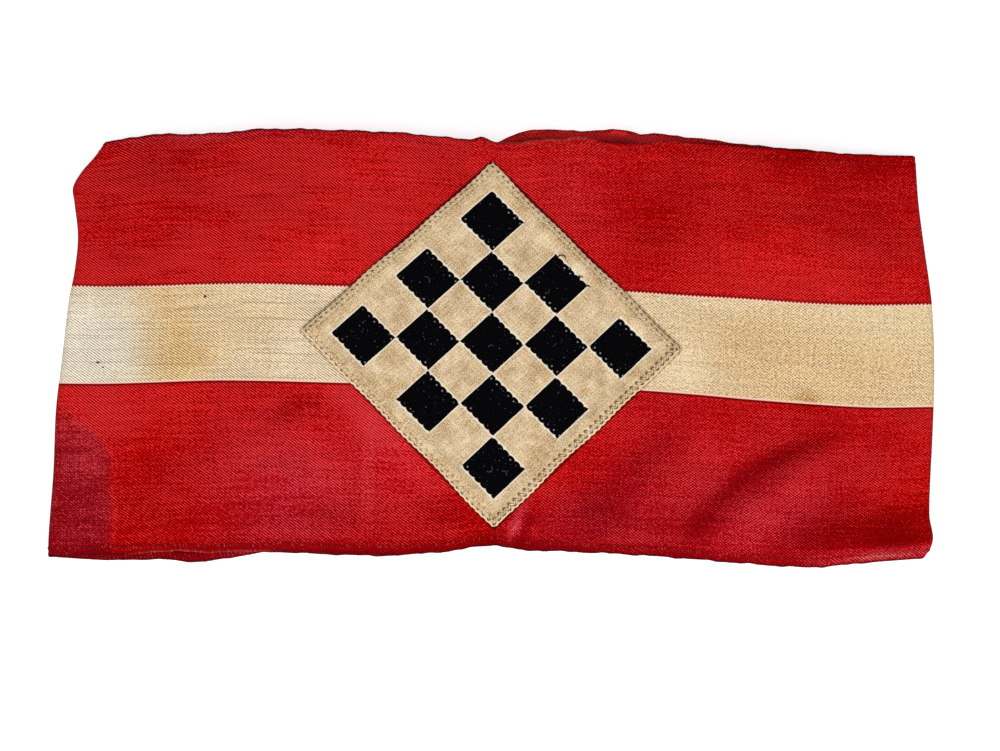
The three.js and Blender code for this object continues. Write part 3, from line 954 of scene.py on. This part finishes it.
# Thickness of the patch, by the distance in from its edge
PATCH_ROWS = [
    (0.0, 0.50),
    (0.1, 0.66),
    (0.28, 0.80),
    (0.6, 0.88),
    (1.1, 0.80),
    (1.6, 0.90),
    (2.4, 1.02),
    (3.2, 1.00),
    (4.0, 0.84),
    (5.0, 0.76),
]
PATCH_STEP = 0.5
CHEQUER_MARGIN = 4.9
CHEQUER_COUNT = 5
CHEQUER_SIDE = PATCH_SIDE - 2 * CHEQUER_MARGIN
CHEQUER_SQUARE = CHEQUER_SIDE / CHEQUER_COUNT
HOLE_ROWS = (0.72, 1.62)
HOLE_PITCH = 1.7

# Puckers in the patch where its stitching pulls
PUCKER_COLUMNS = ("x", "y", "degrees", "wide", "high", "lift")
PUCKERS = [
    (12, 27, 50, 6, 1.2, 0.30),
    (15, 25, 58, 5, 1.0, -0.20),
    (8, 13, 62, 5, 1.3, 0.20),
    (-28, 15, 40, 5, 0.9, -0.25),
    (-26, 13, 48, 6, 1.2, 0.24),
    (28, -10, -20, 5, 1.3, 0.18),
    (-4, -34, 30, 5, 1.4, 0.20),
    (33, 7, 52, 4, 1.0, -0.20),
    (24, 17, 38, 4, 1.1, 0.20),
]

# How a side wanders where its stitches pull, how far in that shows, and the slower waves of its cut, each by
# its length, height and start. The tips are rounded a little.
STITCH_PULL = 0.13
SIDE_DEPTH = 1.4
CUT_WAVES = ((3.3, 0.16, 1), (7.1, 0.12, 2))
TIP_ROUNDING = 0.35
TIP_REACH = 0.6


def patch_place(a, b):
    """A point of the patch: a millimetres towards its top and b towards its bottom, from the left tip."""

    def drawn(inward, beside, start):
        """How far the stitches and the cut make a side wander."""
        near = np.exp(-inward / SIDE_DEPTH) + np.exp(-(PATCH_SIDE - inward) / SIDE_DEPTH)
        wander = STITCH_PULL * np.sin(2 * math.pi * beside / HOLE_PITCH + start)
        for length, reach, turns in CUT_WAVES:
            wander = wander + reach * np.sin(beside / length + turns * start)
        return near * wander

    s = ((a + drawn(a, b, 1.0)) / PATCH_SIDE)[..., None]
    t = ((b + drawn(b, a, 4.0)) / PATCH_SIDE)[..., None]
    left, top, right, bottom = (np.array(corner) for corner in PATCH_CORNERS.values())
    flat = (left * (1 - s) + top * s) * (1 - t) + (bottom * (1 - s) + right * s) * t
    for corner in PATCH_CORNERS.values():
        distance = np.linalg.norm(flat - np.array(corner), axis=-1, keepdims=True)
        inwards = -np.array(corner) / np.linalg.norm(corner)
        flat = flat + inwards * TIP_ROUNDING * np.exp(-((distance / TIP_REACH) ** 2))
    return flat[..., 0], flat[..., 1]


def patch_top(a, b):
    """A point on the upper face of the patch."""
    x, y = patch_place(a, b)
    rows = np.array(PATCH_ROWS)
    inward = np.minimum(np.minimum(a, PATCH_SIDE - a), np.minimum(b, PATCH_SIDE - b))
    thick = np.interp(inward, rows[:, 0], rows[:, 1])
    for pucker in named(PUCKER_COLUMNS, PUCKERS):
        thick = thick + pucker["lift"] * hump(x, y, pucker)
    return np.stack([x, y, front_middle(x, y) + WALL_OUTER + PATCH_SEAT + thick], axis=-1)


def patch_mesh():
    edge = np.array(PATCH_ROWS)[:, 0]
    middle = np.arange(edge[-1], PATCH_SIDE - edge[-1], PATCH_STEP)[1:]
    steps = np.concatenate([edge, middle, PATCH_SIDE - edge[::-1]])
    b, a = np.meshgrid(steps, steps, indexing="ij")
    upper = patch_top(a, b)
    x, y = patch_place(a, b)
    lower = np.stack([x, y, front_middle(x, y) + WALL_OUTER + PATCH_SEAT], axis=-1)
    return cloth_mesh("patch", upper, lower, {"weave": (a, b)}, loop=False)


PICOT_PITCH = 1.85
PICOT_DEEP = 0.5
SEAM_WIDTH = 3
CREAM = ((164, 132, 90), (216, 189, 150), (252, 234, 202))
AGED_CREAM = ((148, 114, 70), (206, 173, 128), (244, 222, 180))
PALE_CREAM = looks(246, 238, 222)
EDGE_HIGHLIGHT = looks(250, 220, 186)
HOLE_BROWN = looks(88, 54, 26)
BLACK_YARN = ((0, 0, 2), (7, 7, 10), (36, 36, 44))
LINT = looks(180, 180, 188)


def patch_finish():
    """Fine cream cloth, mottled with age, with the black chequer and the needle holes."""
    made, start, shader = finish_of("patch_cloth", roughness=0.9)
    a, b = start.pair("weave")
    grain = (a / GRAIN).noise(b / GRAIN, 2.0)
    thread = (a / 4).noise(b / GRAIN, 1.0) + (a / GRAIN).noise(b / 4, 1.0, 0.5, 3.0)
    mottle = (a / 5).noise(b / 5, 3.0, 0.6)
    blotch = (a / 17).noise(b / 17, 2.0, 0.5, 5.0)

    # The black squares have picots along one pair of their sides. The cream beside them is paler.
    wander = mottle * 0.3
    across, along = a - CHEQUER_MARGIN + wander, b - CHEQUER_MARGIN + wander
    count = (across / CHEQUER_SQUARE).math("FLOOR") + (along / CHEQUER_SQUARE).math("FLOOR")
    odd = count.math("FLOORED_MODULO", 2.0).ramp(0.4, 0.6)
    middle = CHEQUER_SIDE / 2
    depth = middle - abs(across - middle).math("MAXIMUM", abs(along - middle))
    inside = depth > 0
    from_across, from_along = (
        CHEQUER_SQUARE / 2 - abs(way.cycle(CHEQUER_SQUARE)) * CHEQUER_SQUARE for way in (across, along)
    )
    swing = along.cycle(PICOT_PITCH) * 2
    notch = (1 - (1 - swing * swing).math("MAXIMUM", 0.0).math("SQRT")) * PICOT_DEEP
    black = (1 - odd) * inside * (from_across - notch).ramp(-0.02, 0.1)
    near = from_across.math("MINIMUM", from_along)
    beside = odd.math("MAXIMUM", inside) * (depth > -0.45) * (1 - odd * inside * (depth < 0.45))
    bright = beside * (1 - near.ramp(0.1, 0.42))

    # Cream cloth, more tan along its border
    tone = mottle * 1.2 + grain * 2.4 + thread * 0.7 + 0.5
    border = 1 - depth.ramp(-3.6, -0.6)
    aged = (blotch.ramp(0.02, 0.22) * 0.8).math("MAXIMUM", border * 0.6)
    cream = aged.mix(tone.shade(*CREAM), tone.shade(*AGED_CREAM))
    cream = (bright * 0.8).mix(cream, PALE_CREAM)

    # Needle holes lie in two staggered rows along each side, and show most at the lower right. The turned
    # edge is painted paler, a painted highlight along it.
    from_a, from_b = (way.math("MINIMUM", PATCH_SIDE - way) for way in (a, b))
    inward = from_a.math("MINIMUM", from_b)
    side = (from_a < from_b) * (b - a) + a
    holes = 0
    lower_side = b > PATCH_SIDE - SEAM_WIDTH
    second = lower_side * 0.4 + 0.5
    for row, shift, dark in zip(HOLE_ROWS, (0.0, 0.5), (0.9, second)):
        dx = (side + shift * HOLE_PITCH).cycle(HOLE_PITCH) * HOLE_PITCH
        dy = inward - row
        holes = (1 - ((dx * dx + dy * dy) * (1 - lower_side * 0.45)).ramp(0.04, 0.2)) * dark + holes
    cream = (holes * 0.95).mix(cream, HOLE_BROWN)
    cream = ((1 - inward.ramp(0.16, 0.5)) * 0.8).mix(cream, EDGE_HIGHLIGHT)

    # Black yarn, its fine ribs painted paler as a painted sheen, with a pale dot behind some picots and a
    # little lint
    ridge = (a * 0.35 + b).wave(0.55)
    yarn = (ridge * 0.35 + grain * 1.2 + 0.15).shade(*BLACK_YARN)
    lint = (a / GRAIN).noise(b / GRAIN, 0.0, 0.5, 9.0).ramp(0.3, 0.36)
    dot = swing * swing * (PICOT_PITCH * PICOT_PITCH / 4) + (from_across - 1.0) * (from_across - 1.0)
    dotted = (1 - dot.ramp(0.01, 0.06)) * (along / 3).noise(across / 3, 0.0, 0.5, 2.0).ramp(0.0, 0.1)
    yarn = ((lint + dotted) * 0.6).mix(yarn, LINT)

    black.mix(cream, yarn).feeds(shader, "Base Color")
    height = grain * 0.5 + thread * 0.4 + black * (ridge * 0.3 + 0.8) - holes * 1.2
    height.bump(0.5, 0.1).feeds(shader, "Normal")
    return made


patch = add_piece("patch_cloth", patch_mesh(), patch_finish(), "patch")

# The patch's stitching
# Thread of the patch's own colour zigzags between the two rows of needle holes, all round. Each stitch stops
# short of its holes and arches a little between them.
STITCH_INSET = 0.08
STITCH_RISE = 0.08
STITCH_SINK = 0.04


def zigzag_paths():
    """Short threads that run to and fro between the rows of holes, along all four sides."""
    outer, inner = HOLE_ROWS[0] + STITCH_INSET, HOLE_ROWS[1] - STITCH_INSET
    half = HOLE_PITCH / 2
    steps = np.arange(1, int((PATCH_SIDE - outer) / half)) * half
    side = np.stack([steps[:-1], (steps[:-1] + steps[1:]) / 2, steps[1:]], axis=-1)
    even = (np.arange(len(side)) % 2 == 0)[:, None]
    depth = np.where(even, [outer, (outer + inner) / 2, inner], [inner, (outer + inner) / 2, outer])
    paths = []
    for across, flip in ((True, False), (True, True), (False, False), (False, True)):
        far = PATCH_SIDE - depth if flip else depth
        a, b = (side, far) if across else (far, side)
        path = patch_top(a, b)
        path[:, 1, 2] += STITCH_RISE
        path[:, [0, 2], 2] -= STITCH_SINK
        paths.append(path)
    return np.concatenate(paths)


cream_thread = thread_finish("cream_thread", (176, 146, 106), (226, 202, 164), (246, 232, 204))
add_threads("patch_stitches", zigzag_paths(), cream_thread, thick=0.32, shade=0.75)

# The patch's loose threads
# A few black ends have pulled out of the weave at the upper right and lie in loose curls. Some short pale
# hairs cling to the black.
HAIR_COLUMNS = ("a", "b", "degrees", "long", "curl", "rise")
BLACK_ENDS = [
    (57.0, 27.4, -50, 3.2, 190, 0.35),
    (57.0, 30.2, 10, 1.5, 120, 0.25),
    (57.0, 33.6, 10, 1.6, 40, 0.3),
    (57.0, 34.3, -20, 1.4, -50, 0.3),
    (57.0, 36.0, 25, 1.5, 60, 0.3),
]
PALE_HAIRS = [
    (31.0, 9.5, 30, 2.4, 160, 0.1),
    (8.5, 52.0, 80, 2.6, -190, 0.1),
    (11.0, 54.5, 10, 2.0, 170, 0.1),
    (50.5, 31.0, 120, 1.8, 120, 0.1),
    (30.0, 31.5, -30, 1.6, 150, 0.1),
]
HAIR_STEPS = 8
HAIR_SEAT = 0.06


def loose_paths(rows):
    """Curling threads that lie on the patch or stand a little off it."""
    t = np.linspace(0, 1, HAIR_STEPS + 1)
    paths = []
    for hair in named(HAIR_COLUMNS, rows):
        heading = np.radians(hair["degrees"] + hair["curl"] * t[:-1])
        step = hair["long"] / HAIR_STEPS
        a = hair["a"] + step * np.concatenate([[0], np.cumsum(np.cos(heading))])
        b = hair["b"] + step * np.concatenate([[0], np.cumsum(np.sin(heading))])
        path = patch_top(a, b)
        path[:, 2] += HAIR_SEAT + hair["rise"] * np.sin(math.pi * t)
        paths.append(path)
    return np.array(paths)


black_thread = thread_finish("black_thread", (2, 2, 4), (18, 18, 24))
add_threads("black_ends", loose_paths(BLACK_ENDS), black_thread, thick=0.28, shade=0.4)
grey_hair = thread_finish("grey_hair", (60, 60, 64), (112, 110, 112))
add_threads("pale_hairs", loose_paths(PALE_HAIRS), grey_hair, thick=0.12, shade=0.5)
